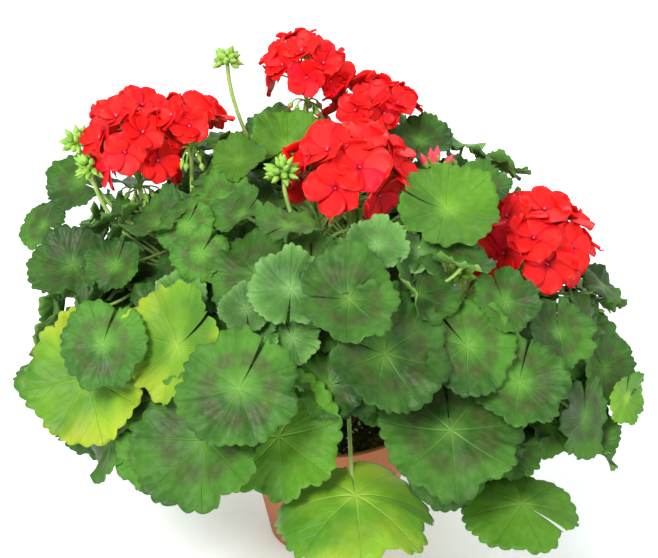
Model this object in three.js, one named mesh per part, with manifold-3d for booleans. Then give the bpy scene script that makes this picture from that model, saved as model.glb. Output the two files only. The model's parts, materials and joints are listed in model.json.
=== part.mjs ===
// A potted zonal geranium in flower: a tapered pot with a rim band, potting soil, five fleshy
// stems, scalloped leaves on long stalks, open flower heads and heads that are still in bud.
// Millimetres, +Z up. The origin is the centre of the pot's foot, where it stands.
import * as THREE from "three";
import { mergeVertices } from "three/addons/utils/BufferGeometryUtils.js";
import Module from "manifold-3d";

const wasm = await Module();
wasm.setup();

// ---- Driving dimensions -------------------------------------------------------------------------
const GAP = 0.3; // clearance between pieces that touch
const CANOPY_REACH = 300; // from the pot's axis to the furthest leaf stalks at the sides
const CANOPY_HEIGHT = 290; // from the pot's rim to the top of the leaves
const LEAF_SCALE = 1; // all the leaf blades together, against the radii in their list

const POT_HEIGHT = 130;
const POT_RIM_RADIUS = 84; // outside, at the rim band
const POT_FOOT_RADIUS = 58;
const POT_WALL = 2.4;
const RIM_BAND_HEIGHT = 24;
const RIM_BAND_STEP = 4; // how far the rim band stands out from the wall below it
const RIM_LIP = 1.5; // how far the rolled edge stands out from the band
const POT_SIDES = 32;
const DRAIN_HOLES = 4;
const DRAIN_HOLE_RADIUS = 5;
const DRAIN_CIRCLE_RADIUS = 36;
const SOIL_BELOW_RIM = 14;
const SOIL_CROWN = 4; // how much higher the soil stands in the middle

const STEM_RADIUS = 4.5;
const STEM_DEPTH = 45; // how far a stem goes down into the soil
const PETIOLE_RADIUS = 1.8;
const PEDUNCLE_RADIUS = 2.2;
const PEDICEL_RADIUS = 0.9;

const BLADE_THICKNESS = 1.4;
const BLADE_LOBES = 7;
const BLADE_SINUS = 24; // degrees, the notch where the stalk comes in
const BLADE_RING = 0.55; // the middle ring of a blade, as a share of its radius
const BLADE_NOTCH = 0.92; // the radius between two lobes, as a share of the blade's

const FLORET_PETALS = 5;
const FLORET_CUP = 4; // how far the petals' tips rise over the middle
const FLORET_BASE = 7; // from the petals' tips down to the base of the floret
const FLORET_NOTCH = 0.72; // the radius between two petals, as a share of the floret's

const UP = new THREE.Vector3(0, 0, 1);
const { degToRad, lerp } = THREE.MathUtils;

// A place in the canopy: x and y as shares of the reach, z as a share of the height over the rim.
function place([x, y, z]) {
  return new THREE.Vector3(x * CANOPY_REACH, y * CANOPY_REACH, POT_HEIGHT + z * CANOPY_HEIGHT);
}

// ---- Where things grow --------------------------------------------------------------------------
// Stems: the place in the soil, the bend and the tip.
const STEMS = [
  { foot: [0.0, 0.03], bend: [-0.02, 0.1, 0.3], tip: [-0.04, 0.16, 0.7] },
  { foot: [-0.07, 0.0], bend: [-0.24, -0.02, 0.22], tip: [-0.46, -0.04, 0.5] },
  { foot: [0.07, 0.01], bend: [0.22, 0.0, 0.2], tip: [0.42, -0.02, 0.42] },
  { foot: [0.01, -0.07], bend: [0.03, -0.16, 0.2], tip: [0.04, -0.3, 0.5] },
  { foot: [0.02, 0.1], bend: [0.06, 0.28, 0.22], tip: [0.1, 0.46, 0.45] },
];

// Leaves: where the blade meets its stalk, the blade's radius in mm, the way that it faces (round
// from the front, and up from level) and the turn of its tip from straight down, in degrees. A blade
// that hangs over like a hood has its cup given here. Leaves are mature unless their age is given:
// fresh ones are a lighter green, young ones small and bluish, old ones yellowing.
const LEAVES = [
  // the low skirt in front
  { at: [0.07, -0.81, 0.2], radius: 64, facing: [4, 84], turn: 0, cup: -0.4, age: "old" },
  { at: [0.53, -0.7, 0.1], radius: 48, facing: [10, 80], turn: -90, cup: -0.2, age: "fresh" },
  { at: [0.33, -0.72, 0.36], radius: 60, facing: [10, 62], turn: -5 },
  { at: [-0.15, -0.74, 0.35], radius: 54, facing: [-5, 34], turn: 8, age: "fresh" },
  { at: [-0.34, -0.73, 0.33], radius: 58, facing: [-25, 34], turn: -30 },
  // the broad leaves in the middle of the front
  { at: [-0.22, -0.75, 0.49], radius: 49, facing: [-8, 42], turn: -25 },
  { at: [0.14, -0.65, 0.55], radius: 54, facing: [28, 42], turn: 60 },
  { at: [0.04, -0.6, 0.67], radius: 42, facing: [14, 50], turn: 80 },
  { at: [0.38, -0.58, 0.54], radius: 42, facing: [20, 42], turn: 30 },
  { at: [0.53, -0.6, 0.44], radius: 41, facing: [10, 46], turn: -20 },
  // the left side
  { at: [-0.68, -0.5, 0.4], radius: 58, facing: [-22, 26], turn: -20, age: "old" },
  { at: [-0.6, -0.51, 0.5], radius: 39, facing: [-20, 36], turn: -5 },
  { at: [-0.41, -0.58, 0.54], radius: 50, facing: [-38, 30], turn: -40, age: "old" },
  { at: [-0.76, -0.16, 0.6], radius: 38, facing: [-20, 52], turn: -95 },
  { at: [-0.88, 0.06, 0.64], radius: 25, facing: [-40, 44], turn: -90 },
  { at: [-0.77, 0.11, 0.77], radius: 32, facing: [-28, 46], turn: -100 },
  { at: [-0.61, -0.3, 0.66], radius: 25, facing: [-20, 40], turn: -10 },
  { at: [-0.41, -0.48, 0.66], radius: 22, facing: [-15, 46], turn: -20, age: "young" },
  // the right side
  { at: [0.81, -0.34, 0.34], radius: 31, facing: [34, 26], turn: 30 },
  { at: [0.86, -0.37, 0.26], radius: 24, facing: [40, 10], turn: 0, age: "old" },
  { at: [0.72, -0.52, 0.28], radius: 36, facing: [48, 14], turn: -10 },
  { at: [0.65, -0.44, 0.52], radius: 32, facing: [30, 40], turn: -10 },
  { at: [0.48, -0.47, 0.62], radius: 29, facing: [20, 46], turn: 10 },
  // the small leaves of the crown
  { at: [-0.2, -0.5, 0.73], radius: 42, facing: [-10, 52], turn: -90 },
  { at: [-0.1, -0.56, 0.7], radius: 34, facing: [-5, 44], turn: 180, age: "young" },
  { at: [-0.22, -0.58, 0.65], radius: 22, facing: [-5, 44], turn: -170, age: "young" },
  { at: [-0.1, -0.64, 0.6], radius: 23, facing: [0, 42], turn: 20, age: "young" },
  { at: [0.13, -0.45, 0.79], radius: 26, facing: [5, 50], turn: 170, age: "young" },
  { at: [0.33, -0.3, 0.84], radius: 45, facing: [12, 58], turn: 70, age: "fresh" },
  { at: [-0.4, -0.33, 0.8], radius: 26, facing: [-15, 48], turn: -20 },
  { at: [-0.12, 0.02, 0.92], radius: 36, facing: [-5, 58], turn: 140, age: "fresh" },
  { at: [-0.26, -0.11, 0.92], radius: 25, facing: [-20, 58], turn: 150, age: "fresh" },
  { at: [-0.16, 0.22, 0.92], radius: 30, facing: [-10, 64], turn: 180 },
  { at: [0.28, 0.12, 0.9], radius: 28, facing: [10, 60], turn: 150 },
  { at: [0.46, -0.06, 0.82], radius: 24, facing: [18, 58], turn: 120 },
  // the back, from left to right
  { at: [-0.58, 0.4, 0.56], radius: 46, facing: [-125, 34], turn: 10 },
  { at: [-0.3, 0.62, 0.56], radius: 52, facing: [-155, 36], turn: -10 },
  { at: [0.06, 0.68, 0.6], radius: 50, facing: [175, 36], turn: 15 },
  { at: [0.42, 0.56, 0.54], radius: 52, facing: [145, 34], turn: 0 },
  { at: [0.66, 0.26, 0.52], radius: 44, facing: [112, 34], turn: -15 },
  { at: [0.1, 0.74, 0.26], radius: 54, facing: [172, 12], turn: 0 },
];

// Open flower heads: the middle of the head, its stem, its width and height, how many florets it
// has, their radius, and how far round the first one stands.
const FLOWER_HEADS = [
  { at: [-0.57, 0.02, 0.93], stem: 1, width: 90, height: 92, florets: 10, radius: 21, turn: 265 },
  { at: [-0.41, 0.0, 1.0], stem: 1, width: 66, height: 50, florets: 6, radius: 19, turn: 280 },
  { at: [-0.07, 0.2, 1.11], stem: 0, width: 74, height: 66, florets: 9, radius: 19, turn: 270 },
  { at: [0.13, 0.13, 1.01], stem: 0, width: 76, height: 50, florets: 7, radius: 20, turn: 290 },
  { at: [0.06, -0.15, 0.91], stem: 3, width: 112, height: 78, florets: 9, radius: 24, turn: 268 },
  { at: [0.61, -0.06, 0.63], stem: 2, width: 114, height: 90, florets: 9, radius: 24, turn: 262 },
];

// Heads still in bud: the middle of the cluster, its stem and its radius.
const BUD_HEADS = [
  { at: [-0.31, 0.2, 1.16], stem: 0, radius: 12 },
  { at: [-0.75, 0.03, 0.95], stem: 1, radius: 14 },
  { at: [-0.71, 0.0, 0.88], stem: 1, radius: 14 },
  { at: [-0.13, -0.24, 0.95], stem: 3, radius: 14 },
  { at: [0.31, -0.06, 0.88], stem: 2, radius: 16 },
  { at: [0.38, -0.26, 0.63], stem: 2, radius: 12 },
];

// ---- Making solids ------------------------------------------------------------------------------
// A closed surface as a solid.
function solidOf(geometry) {
  geometry.deleteAttribute("normal");
  geometry.deleteAttribute("uv");
  const merged = mergeVertices(geometry, 1e-4);
  const vertProperties = merged.getAttribute("position").array;
  const triVerts = new Uint32Array(merged.index.array);
  return new wasm.Manifold(new wasm.Mesh({ numProp: 3, vertProperties, triVerts }));
}

function solidFrom(points, faces) {
  const geometry = new THREE.BufferGeometry().setFromPoints(points);
  geometry.setIndex(faces.flat());
  return solidOf(geometry);
}

// A rod along a curve.
function rod(curve, radius, steps = 4, sides = 5) {
  const corners = Array.from({ length: sides }, (_, i) => {
    const turn = (i / sides) * 2 * Math.PI;
    return new THREE.Vector2(radius * Math.cos(turn), radius * Math.sin(turn));
  });
  return solidOf(new THREE.ExtrudeGeometry(new THREE.Shape(corners), { steps, extrudePath: curve }));
}

// A turned piece: its profile as radius and height, from the axis at the foot round to the axis.
function turned(profile, sides) {
  const points = profile.map(([radius, height]) => new THREE.Vector2(radius, height));
  return solidOf(new THREE.LatheGeometry(points, sides).rotateX(Math.PI / 2));
}

// The largest body of a solid: crumbs that a cut leaves behind are dropped.
function largest(shape) {
  return shape.decompose().reduce((a, b) => (b.volume() > a.volume() ? b : a));
}

function boxesMeet(one, other) {
  const [a, b] = [one.boundingBox(), other.boundingBox()];
  return [0, 1, 2].every((k) => a.min[k] < b.max[k] && b.min[k] < a.max[k]);
}

function cutBy(shape, others) {
  const near = others.filter((other) => boxesMeet(shape, other));
  return near.reduce((left, other) => left.subtract(other), shape);
}

// ---- Pot and soil -------------------------------------------------------------------------------
const BAND_FOOT = POT_HEIGHT - RIM_BAND_HEIGHT;
const WALL_TOP_RADIUS = POT_RIM_RADIUS - RIM_BAND_STEP; // outside, just under the rim band
const SOIL_TOP = POT_HEIGHT - SOIL_BELOW_RIM;

const wallRadiusAt = (z) => lerp(POT_FOOT_RADIUS, WALL_TOP_RADIUS, z / BAND_FOOT);

function pot() {
  const chamfer = 2;
  const inside = POT_RIM_RADIUS - POT_WALL;
  const body = turned(
    [
      [0, 0],
      [POT_FOOT_RADIUS - chamfer, 0],
      [POT_FOOT_RADIUS, chamfer],
      [WALL_TOP_RADIUS, BAND_FOOT],
      [POT_RIM_RADIUS, BAND_FOOT + chamfer],
      [POT_RIM_RADIUS, POT_HEIGHT - 2.5 * chamfer],
      [POT_RIM_RADIUS + RIM_LIP, POT_HEIGHT - 2 * chamfer],
      [POT_RIM_RADIUS + RIM_LIP, POT_HEIGHT - chamfer / 2],
      [POT_RIM_RADIUS, POT_HEIGHT],
      [inside, POT_HEIGHT],
      [inside, BAND_FOOT + 2 * chamfer],
      [WALL_TOP_RADIUS - POT_WALL, BAND_FOOT],
      [wallRadiusAt(POT_WALL) - POT_WALL, POT_WALL],
      [0, POT_WALL],
    ],
    POT_SIDES,
  );
  const drains = Array.from({ length: DRAIN_HOLES }, (_, i) => {
    const turn = ((i + 0.5) / DRAIN_HOLES) * 2 * Math.PI;
    const hole = new THREE.CylinderGeometry(DRAIN_HOLE_RADIUS, DRAIN_HOLE_RADIUS, 4 * POT_WALL, 10);
    hole.rotateX(Math.PI / 2);
    hole.translate(DRAIN_CIRCLE_RADIUS * Math.cos(turn), DRAIN_CIRCLE_RADIUS * Math.sin(turn), POT_WALL / 2);
    return solidOf(hole);
  });
  return cutBy(body, drains);
}

function soil() {
  const foot = POT_WALL + GAP;
  const clear = POT_WALL + GAP / Math.cos(Math.PI / POT_SIDES);
  return turned(
    [
      [0, foot],
      [wallRadiusAt(foot) - clear, foot],
      [WALL_TOP_RADIUS - clear, BAND_FOOT],
      [WALL_TOP_RADIUS - clear, SOIL_TOP],
      [0, SOIL_TOP + SOIL_CROWN],
    ],
    POT_SIDES,
  );
}

// ---- Stems --------------------------------------------------------------------------------------
const stemCurves = STEMS.map(({ foot, bend, tip }) => {
  const [x, y] = foot.map((share) => share * CANOPY_REACH);
  const root = new THREE.Vector3(x * 0.8, y * 0.8, SOIL_TOP - STEM_DEPTH);
  return new THREE.CatmullRomCurve3([root, new THREE.Vector3(x, y, SOIL_TOP), place(bend), place(tip)]);
});

const stem = (curve, extra = 0) => rod(curve, STEM_RADIUS + extra, 7, 6);

// ---- Leaf blades --------------------------------------------------------------------------------
// A leaf's own directions, its size, and its habit: how far it cups and folds along its middle.
function leafOf(row, index) {
  const { at, radius, facing, turn } = row;
  const [round, up] = facing.map(degToRad);
  const face = new THREE.Vector3(
    Math.sin(round) * Math.cos(up),
    -Math.cos(round) * Math.cos(up),
    Math.sin(up),
  );
  const tip = face.clone().multiplyScalar(face.z).sub(UP).normalize();
  tip.applyAxisAngle(face, degToRad(turn));
  const across = new THREE.Vector3().crossVectors(face, tip);
  const cup = row.cup ?? 0.1 + 0.14 * Math.sin(2.1 * index + 0.6);
  const fold = 0.1 * Math.sin(1.3 * index + 2);
  const age = row.age ?? "mature";
  return { hub: place(at), radius: radius * LEAF_SCALE, face, tip, across, cup, fold, age };
}

// A point of the blade: its angle from the tip, and its share of the radius.
function bladePoint({ hub, face, tip, across, cup, fold }, angle, share, radius) {
  const rise = share ** 2 * (cup + fold * Math.cos(2 * angle));
  return hub
    .clone()
    .addScaledVector(tip, radius * share * Math.cos(angle))
    .addScaledVector(across, radius * share * Math.sin(angle))
    .addScaledVector(face, radius * rise);
}

// The blade is a fan round the stalk's end, and then a band out to the lobes and their notches.
function blade(leaf, extra = 0) {
  const half = Math.PI - degToRad(BLADE_SINUS) / 2;
  const radius = leaf.radius + extra;
  const rise = BLADE_THICKNESS / 2 + extra;
  const at = (i, share) => bladePoint(leaf, lerp(-half, half, i / (2 * BLADE_LOBES)), share, radius);
  const ring = Array.from({ length: BLADE_LOBES + 1 }, (_, i) => at(2 * i, BLADE_RING));
  const edge = Array.from({ length: 2 * BLADE_LOBES + 1 }, (_, i) => at(i, i % 2 ? 1 : BLADE_NOTCH));
  const sheet = [leaf.hub, ...ring, ...edge];
  const upper = sheet.map((p) => p.clone().addScaledVector(leaf.face, rise));
  const lower = sheet.map((p) => p.clone().addScaledVector(leaf.face, -rise));

  const firstEdge = 1 + ring.length;
  const top = [];
  for (let i = 0; i < BLADE_LOBES; i++) {
    const inner = 1 + i;
    const outer = firstEdge + 2 * i;
    top.push([0, inner, inner + 1], [inner, outer, outer + 1]);
    top.push([inner, outer + 1, inner + 1], [inner + 1, outer + 1, outer + 2]);
  }
  const outline = [0, 1, ...edge.map((_, i) => firstEdge + i), ring.length];
  const under = sheet.length;
  const bottom = top.map(([a, b, c]) => [a + under, c + under, b + under]);
  const sides = outline.flatMap((a, i) => {
    const b = outline[(i + 1) % outline.length];
    return [
      [b, a, a + under],
      [b, a + under, b + under],
    ];
  });
  return solidFrom([...upper, ...lower], [...top, ...bottom, ...sides]);
}

// Where two blades would pass through each other, each moves a little way along the other's face,
// until they lie one on top of the other as leaves do.
function settle(leaves) {
  const apart = 5;
  const samples = [[0, 0]];
  for (const share of [0.5, 0.95]) {
    for (let i = 0; i < 10; i++) samples.push([(i / 10) * 2 * Math.PI, share]);
  }
  const heightsOver = (other, one) =>
    samples.flatMap(([angle, share]) => {
      const from = bladePoint(one, angle, share, one.radius).sub(other.hub);
      const height = from.dot(other.face);
      const out = from.addScaledVector(other.face, -height).length() / other.radius;
      return out < 1 ? [height - other.radius * other.cup * out ** 2] : [];
    });
  for (let round = 0; round < 60; round++) {
    for (const one of leaves) {
      for (const other of leaves) {
        if (one === other || one.hub.distanceTo(other.hub) > one.radius + other.radius) continue;
        const heights = heightsOver(other, one);
        if (!heights.length) continue;
        const side = heights.reduce((a, b) => a + b) < 0 ? -1 : 1;
        const short = Math.max(...heights.map((height) => apart - side * height));
        if (short <= 0) continue;
        const push = other.face.clone().multiplyScalar(side * Math.min(short, 4) * 0.25);
        one.hub.add(push);
        other.hub.sub(push);
      }
    }
  }
}

// ---- Stalks -------------------------------------------------------------------------------------
// A stalk leaves its stem half outwards and half upwards, and meets what it carries from behind.
function stalkCurve(base, end, arrive) {
  const way = end.clone().sub(base);
  const reach = 0.35 * way.length();
  const leave = way.normalize().add(UP).normalize();
  return new THREE.CubicBezierCurve3(
    base,
    base.clone().addScaledVector(leave, reach),
    end.clone().addScaledVector(arrive, -reach),
    end,
  );
}

const spaced = (curve) => curve.getSpacedPoints(24);

function nearest(points, others) {
  let least = Infinity;
  for (const p of points) for (const q of others) least = Math.min(least, p.distanceToSquared(q));
  return Math.sqrt(least);
}

// How many blades, other than its own, a stalk passes through.
function bladesCrossed(points, leaves, own) {
  const crosses = (leaf) => {
    const heights = points.map((p) => p.clone().sub(leaf.hub).dot(leaf.face));
    const through = (i) => i > 0 && heights[i] * heights[i - 1] < 0;
    return points.some((p, i) => through(i) && p.distanceTo(leaf.hub) < leaf.radius);
  };
  return leaves.filter((leaf) => leaf !== own && crosses(leaf)).length;
}

// A stalk starts on its stem where its way out is short and meets no other stalk and few blades.
function rootStalk(end, arrive, radius, stems, leaves, own, taken) {
  const room = 2;
  let best;
  for (const s of stems) {
    for (let t = 0.4; t <= 0.99; t += 0.04) {
      const axis = stemCurves[s].getPointAt(t);
      const out = end.clone().sub(axis).normalize();
      const curve = stalkCurve(axis.addScaledVector(out, STEM_RADIUS - 1), end, arrive);
      const points = spaced(curve);
      let cost = curve.getLength() + 60 * bladesCrossed(points, leaves, own);
      for (const other of taken) {
        const short = room + radius + other.radius - nearest(points, other.points);
        if (short > 0) cost += 400 * (1 + short);
      }
      stemPoints.forEach((other, n) => {
        if (n !== s && nearest(points, other) < room + radius + STEM_RADIUS) cost += 300;
      });
      if (!best || cost < best.cost) best = { cost, curve, points };
    }
  }
  taken.push({ points: best.points, radius });
  return best.curve;
}

const stemPoints = stemCurves.map(spaced);

// ---- Flowers and buds ---------------------------------------------------------------------------
// Where a head's florets stand: a spiral over the top of a dome and down its sides.
function floretPlaces({ at, width, height, florets, radius, turn }) {
  const golden = 137.5;
  const middle = place(at);
  const reach = width / 2 - 0.5 * radius;
  const rise = height / 2 - FLORET_CUP;
  return Array.from({ length: florets }, (_, i) => {
    const fall = degToRad(15 + 85 * Math.sqrt(i / florets));
    const round = degToRad(turn + golden * i);
    const away = new THREE.Vector3().setFromSphericalCoords(1, fall, round);
    away.set(away.z, away.x, away.y); // from a pole along Y to one along Z
    const dome = new THREE.Vector3(reach, reach, rise);
    const centre = middle.clone().add(away.clone().multiply(dome));
    return { centre, face: away.divide(dome).normalize() };
  });
}

// A floret: five petals in a shallow cup over a cone that narrows to its stalk. The room that it
// takes, with the extra, fills the cup and reaches past the thin edge of the petals.
function floret({ centre, face }, radius, extra) {
  const start = Math.abs(face.z) > 0.95 ? new THREE.Vector3(1, 0, 0) : UP;
  const across = new THREE.Vector3().crossVectors(start, face).normalize();
  const tip = new THREE.Vector3().crossVectors(face, across);
  const count = 2 * FLORET_PETALS;
  const rim = Array.from({ length: count }, (_, i) => {
    const turn = (i / count) * 2 * Math.PI;
    const reach = (radius + 5 * extra) * (i % 2 ? FLORET_NOTCH : 1);
    return centre
      .clone()
      .addScaledVector(tip, reach * Math.cos(turn))
      .addScaledVector(across, reach * Math.sin(turn));
  });
  const middle = centre.clone().addScaledVector(face, extra ? FLORET_CUP : -FLORET_CUP);
  const base = centre.clone().addScaledVector(face, -FLORET_BASE - extra);
  const faces = rim.flatMap((_, i) => {
    const next = (i + 1) % count;
    return [
      [count, next, i],
      [count + 1, i, next],
    ];
  });
  return solidFrom([...rim, middle, base], faces);
}

const fork = ({ at, height }) => place(at).addScaledVector(UP, -height / 2);

function flowerHead(head, extra = 0) {
  return floretPlaces(head).reduce((shape, spot) => {
    const base = spot.centre.clone().addScaledVector(spot.face, 1 - FLORET_BASE);
    const pedicel = rod(new THREE.LineCurve3(fork(head), base), PEDICEL_RADIUS + extra, 1, 4);
    return shape.add(pedicel).add(floret(spot, head.radius, extra));
  }, rod(head.curve, PEDUNCLE_RADIUS + extra));
}

// A head in bud: a rounded cluster of closed buds on its stalk.
function budHead(head, extra = 0) {
  const { x, y, z } = place(head.at);
  const reach = head.radius + extra;
  const profile = [
    [0, -0.8],
    [0.8, -0.5],
    [1, 0.2],
    [0.6, 0.9],
    [0, 1.2],
  ].map((point) => point.map((share) => share * reach));
  const cluster = turned(profile, 8).translate([x, y, z]);
  return rod(head.curve, PEDUNCLE_RADIUS + extra).add(cluster);
}

// ---- Materials ----------------------------------------------------------------------------------
const paint = (color, roughness) => new THREE.MeshStandardMaterial({ color, roughness, metalness: 0 });
const TERRACOTTA = paint(0xb06a48, 0.75);
const SOIL = paint(0x2b211b, 0.95);
const STEM_GREEN = paint(0x7a8f45, 0.6);
const LEAF = {
  mature: paint(0x3f7a32, 0.55),
  fresh: paint(0x6aa63c, 0.55),
  young: paint(0x5b9160, 0.6),
  old: paint(0xa3ba3a, 0.55),
};
const PETAL_RED = paint(0xe0261a, 0.6);
const BUD_GREEN = paint(0x77a03c, 0.6);

// ---- Putting the plant together -----------------------------------------------------------------
const numbered = (word, i) => `${word}_${String(i + 1).padStart(2, "0")}`;

const leaves = LEAVES.map(leafOf);
settle(leaves);

const named = (list, word, more) => list.map((head, i) => ({ ...head, ...more(head), name: numbered(word, i) }));
const heads = [
  ...named(FLOWER_HEADS, "flower_head", (head) => ({ make: flowerHead, end: fork(head), paint: PETAL_RED })),
  ...named(BUD_HEADS, "bud_head", (head) => ({ make: budHead, end: place(head.at), paint: BUD_GREEN })),
];
const taken = [];
for (const head of heads) {
  head.curve = rootStalk(head.end, UP, PEDUNCLE_RADIUS, [head.stem], leaves, null, taken);
}
for (const leaf of leaves) {
  const arrive = leaf.face.clone().addScaledVector(leaf.tip, 0.35).normalize();
  leaf.curve = rootStalk(leaf.hub, arrive, PETIOLE_RADIUS, stemCurves.keys(), leaves, leaf, taken);
}

// A piece is cut where an earlier one passes, with the gap between them. Stems come first, then
// flower and bud heads, leaf stalks and blades.
const petiole = (leaf, extra = 0) => rod(leaf.curve, PETIOLE_RADIUS + extra);
const roomFor = {
  stems: stemCurves.map((curve) => stem(curve, GAP)),
  heads: heads.map((head) => head.make(head, GAP)),
  petioles: leaves.map((leaf) => petiole(leaf, GAP)),
  blades: leaves.map((leaf) => blade(leaf, GAP)),
};

const stemPiece = (curve, i) => largest(cutBy(stem(curve), roomFor.stems.slice(0, i)));
function headPiece(head, i) {
  return largest(cutBy(head.make(head), [...roomFor.stems, ...roomFor.heads.slice(0, i)]));
}

function leafPiece(leaf, i) {
  const before = [...roomFor.stems, ...roomFor.heads];
  const others = roomFor.petioles.filter((_, j) => j !== i);
  const stalk = cutBy(petiole(leaf), [...before, ...roomFor.petioles.slice(0, i)]);
  const sheet = cutBy(blade(leaf), [...before, ...others, ...roomFor.blades.slice(0, i)]);
  return largest(stalk.add(sheet));
}

// ---- The scene ----------------------------------------------------------------------------------
const plant = new THREE.Group();

function add(name, shape, material) {
  const { numProp, vertProperties, triVerts } = shape.getMesh();
  const geometry = new THREE.BufferGeometry();
  const positions = new THREE.InterleavedBuffer(vertProperties, numProp);
  geometry.setAttribute("position", new THREE.InterleavedBufferAttribute(positions, 3, 0));
  geometry.setIndex(new THREE.BufferAttribute(triVerts, 1));
  const mesh = new THREE.Mesh(geometry, material);
  mesh.name = name;
  plant.add(mesh);
}

add("pot", pot(), TERRACOTTA);
add("soil", cutBy(soil(), roomFor.stems), SOIL);
stemCurves.forEach((curve, i) => add(numbered("stem", i), stemPiece(curve, i), STEM_GREEN));
leaves.forEach((leaf, i) => add(numbered("leaf", i), leafPiece(leaf, i), LEAF[leaf.age]));
heads.forEach((head, i) => add(head.name, headPiece(head, i), head.paint));

export default plant;
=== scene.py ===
# %% [markdown]
# # A potted zonal geranium in flower
# The CAD part says where everything is: 41 leaves, five stems, six open heads, six heads in bud,
# the pot and its soil. Each lesson below reads those places from the frame and grows the real
# thing there: scalloped leaves, florets with five petals, nodding buds, damp soil and a thin pot.
# Every surface is made as whole numpy arrays from a formula, which its function says in words.

import json
import math
import bpy
import numpy as np
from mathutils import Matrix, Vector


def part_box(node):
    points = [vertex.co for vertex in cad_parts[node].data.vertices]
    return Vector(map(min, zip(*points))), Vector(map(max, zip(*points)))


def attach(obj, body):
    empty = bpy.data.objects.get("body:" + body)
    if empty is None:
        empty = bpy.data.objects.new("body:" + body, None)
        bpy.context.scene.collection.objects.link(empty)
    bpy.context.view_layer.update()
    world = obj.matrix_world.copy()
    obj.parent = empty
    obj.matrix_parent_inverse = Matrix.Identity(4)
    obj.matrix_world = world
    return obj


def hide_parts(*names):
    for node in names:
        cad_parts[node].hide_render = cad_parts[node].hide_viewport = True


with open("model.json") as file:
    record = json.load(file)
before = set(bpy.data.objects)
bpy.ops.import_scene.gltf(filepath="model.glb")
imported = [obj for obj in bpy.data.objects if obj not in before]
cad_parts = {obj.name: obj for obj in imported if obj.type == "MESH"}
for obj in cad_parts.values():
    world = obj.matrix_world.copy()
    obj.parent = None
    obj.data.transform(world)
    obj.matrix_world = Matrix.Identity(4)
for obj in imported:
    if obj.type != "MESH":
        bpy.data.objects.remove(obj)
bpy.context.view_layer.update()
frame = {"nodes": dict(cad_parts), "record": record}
rng = np.random.default_rng(11)
NODES = sorted(frame["nodes"])
UP = np.array([0.0, 0.0, 1.0])

# %% [markdown]
# ## Camera, light and floor
# The camera looks down on the plant a little, from the front. A soft key light stands to the left
# of the camera, a weak one fills from the right and another lifts the plant from behind. A white
# world fills the shadows, as in a studio with a pale table.

# %% Camera, light and floor
POT_HIGH = np.array(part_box("pot")[1])
RIM_HEIGHT = POT_HIGH[2]
CAMERA_BACK = 1.2245
CAMERA_OVER_RIM = 0.6787
LOOK_DOWN = math.radians(23.77)

def unit(vectors):
    """Each vector divided by its length."""
    return vectors / np.maximum(np.linalg.norm(vectors, axis=-1, keepdims=True), 1e-12)


def linked(name, data):
    """A new object of the scene that shows the given mesh, light or camera."""
    made = bpy.data.objects.new(name, data)
    bpy.context.scene.collection.objects.link(made)
    return made


camera = linked("camera", bpy.data.cameras.new("camera"))
camera.location = (0.0, -CAMERA_BACK, RIM_HEIGHT + CAMERA_OVER_RIM)
camera.rotation_euler = (math.pi / 2 - LOOK_DOWN, 0.0, 0.0)
camera.data.sensor_width = 36.0
camera.data.lens = 78.95
bpy.context.scene.camera = camera


def area_light(name, place, aim, size, watts):
    """A square soft light at a place, turned to shine at a point."""
    light = bpy.data.lights.new(name, "AREA")
    light.size, light.energy = size, watts
    lamp = linked(name, light)
    lamp.location = place
    way = unit(np.subtract(aim, place))
    lamp.rotation_euler = (math.acos(-way[2]), 0.0, math.atan2(-way[0], way[1]))


area_light("key", (-0.75, -1.6, 1.75), (0, -0.05, 0.3), 0.7, 54)
area_light("fill", (1.5, -0.7, 1.1), (0, 0, 0.25), 1.4, 6)
area_light("back", (0.3, 1.6, 1.5), (0, 0, 0.3), 1.4, 16)

world = bpy.data.worlds.new("studio")
world.use_nodes = True
world.node_tree.nodes["Background"].inputs["Color"].default_value = (0.96, 0.98, 1.0, 1.0)
world.node_tree.nodes["Background"].inputs["Strength"].default_value = 0.78
bpy.context.scene.world = world
bpy.context.scene.view_settings.view_transform = "Standard"
print("camera", [round(v, 3) for v in camera.location])


# %% [markdown]
# ## Making meshes
# Leaves, stalks, petals and buds are all grids of points that are bent into shape, so one function
# numbers the faces of a grid and another turns points and faces into a piece that rides on the pot.

# %% Mesh helpers
def grid_faces(rows, columns, copies=1, wrap=False, flip=False):
    """Four-cornered faces between neighbouring points of each grid of rows and columns."""
    here = np.arange(columns if wrap else columns - 1)
    start = np.arange(rows - 1)[:, None] * columns
    a, b = (start + here).ravel(), (start + (here + 1) % columns).ravel()
    order = [a, a + columns, b + columns, b] if flip else [a, b, b + columns, a + columns]
    quads = np.stack(order, 1)
    return (quads + np.arange(copies)[:, None, None] * rows * columns).reshape(-1, 4)


def smooth(low, high, x):
    """0 below low, 1 above high, and an even S between them."""
    t = np.clip((x - low) / (high - low), 0, 1)
    return t * t * (3 - 2 * t)


def piece(name, points, faces, materials, stands_for=(), uv=None, values=None):
    """A mesh that rides on the root, with its UV map and its named numbers per point."""
    mesh = bpy.data.meshes.new(name)
    groups = faces if isinstance(faces, list) else [faces]
    corners = [face for group in groups for face in group.tolist()]
    mesh.from_pydata(points.reshape(-1, 3).tolist(), [], corners)
    for material in materials:
        mesh.materials.append(material)
    corner = np.empty(len(mesh.loops), np.int32)
    mesh.loops.foreach_get("vertex_index", corner)
    if uv is not None:
        layer = mesh.uv_layers.new(name="flat")
        layer.data.foreach_set("uv", uv.reshape(-1, 2)[corner].astype(np.float32).ravel())
    for word, numbers in (values or {}).items():
        data = mesh.attributes.new(word, "FLOAT", "POINT").data
        numbers = np.broadcast_to(numbers, len(mesh.vertices)).astype(np.float32)
        data.foreach_set("value", numbers.ravel())
    mesh.shade_smooth()
    shape = linked(name, mesh)
    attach(shape, "root")
    if len(stands_for):
        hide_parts(*stands_for)
    return shape


GOLDEN_ANGLE = math.radians(137.5)


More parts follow.
